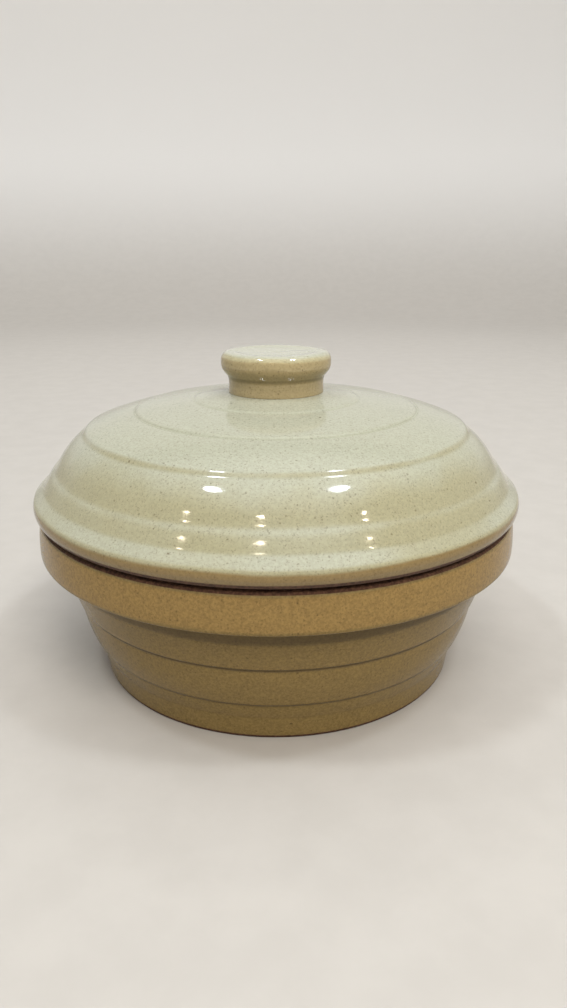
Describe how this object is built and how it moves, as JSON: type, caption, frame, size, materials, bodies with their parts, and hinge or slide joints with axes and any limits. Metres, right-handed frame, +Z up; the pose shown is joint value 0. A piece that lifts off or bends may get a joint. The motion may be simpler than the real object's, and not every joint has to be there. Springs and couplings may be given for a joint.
{
  "type": "lidded casserole",
  "caption": "Round lidded stoneware casserole: wide bowl with a flared rim collar and stepped wall, domed lid with stepped rings and a disc knob.",
  "frame": {"origin": "centre of the foot ring, on the surface the pot stands on", "axes": "+Z up the turning axis, from the foot to the knob; X and Y are alike, because every piece is turned about Z"},
  "size_m": [0.2253, 0.2254, 0.1474],
  "materials": {
    "bowl_glaze": "glossy, speckled tan and olive",
    "lid_glaze": "glossy, speckled sage green and tan",
    "knob_glaze": "glossy, speckled tan and sage green"
  },
  "bodies": {
    "bowl": {"bowl": "bowl_glaze"},
    "lid": {"lid": "lid_glaze", "knob": "knob_glaze"}
  },
  "joints": [
    {"name": "lid_lift", "type": "slide", "parent": "bowl", "child": "lid", "axis": [0, 0, 1], "range_m": [0, 0.15]}
  ]
}
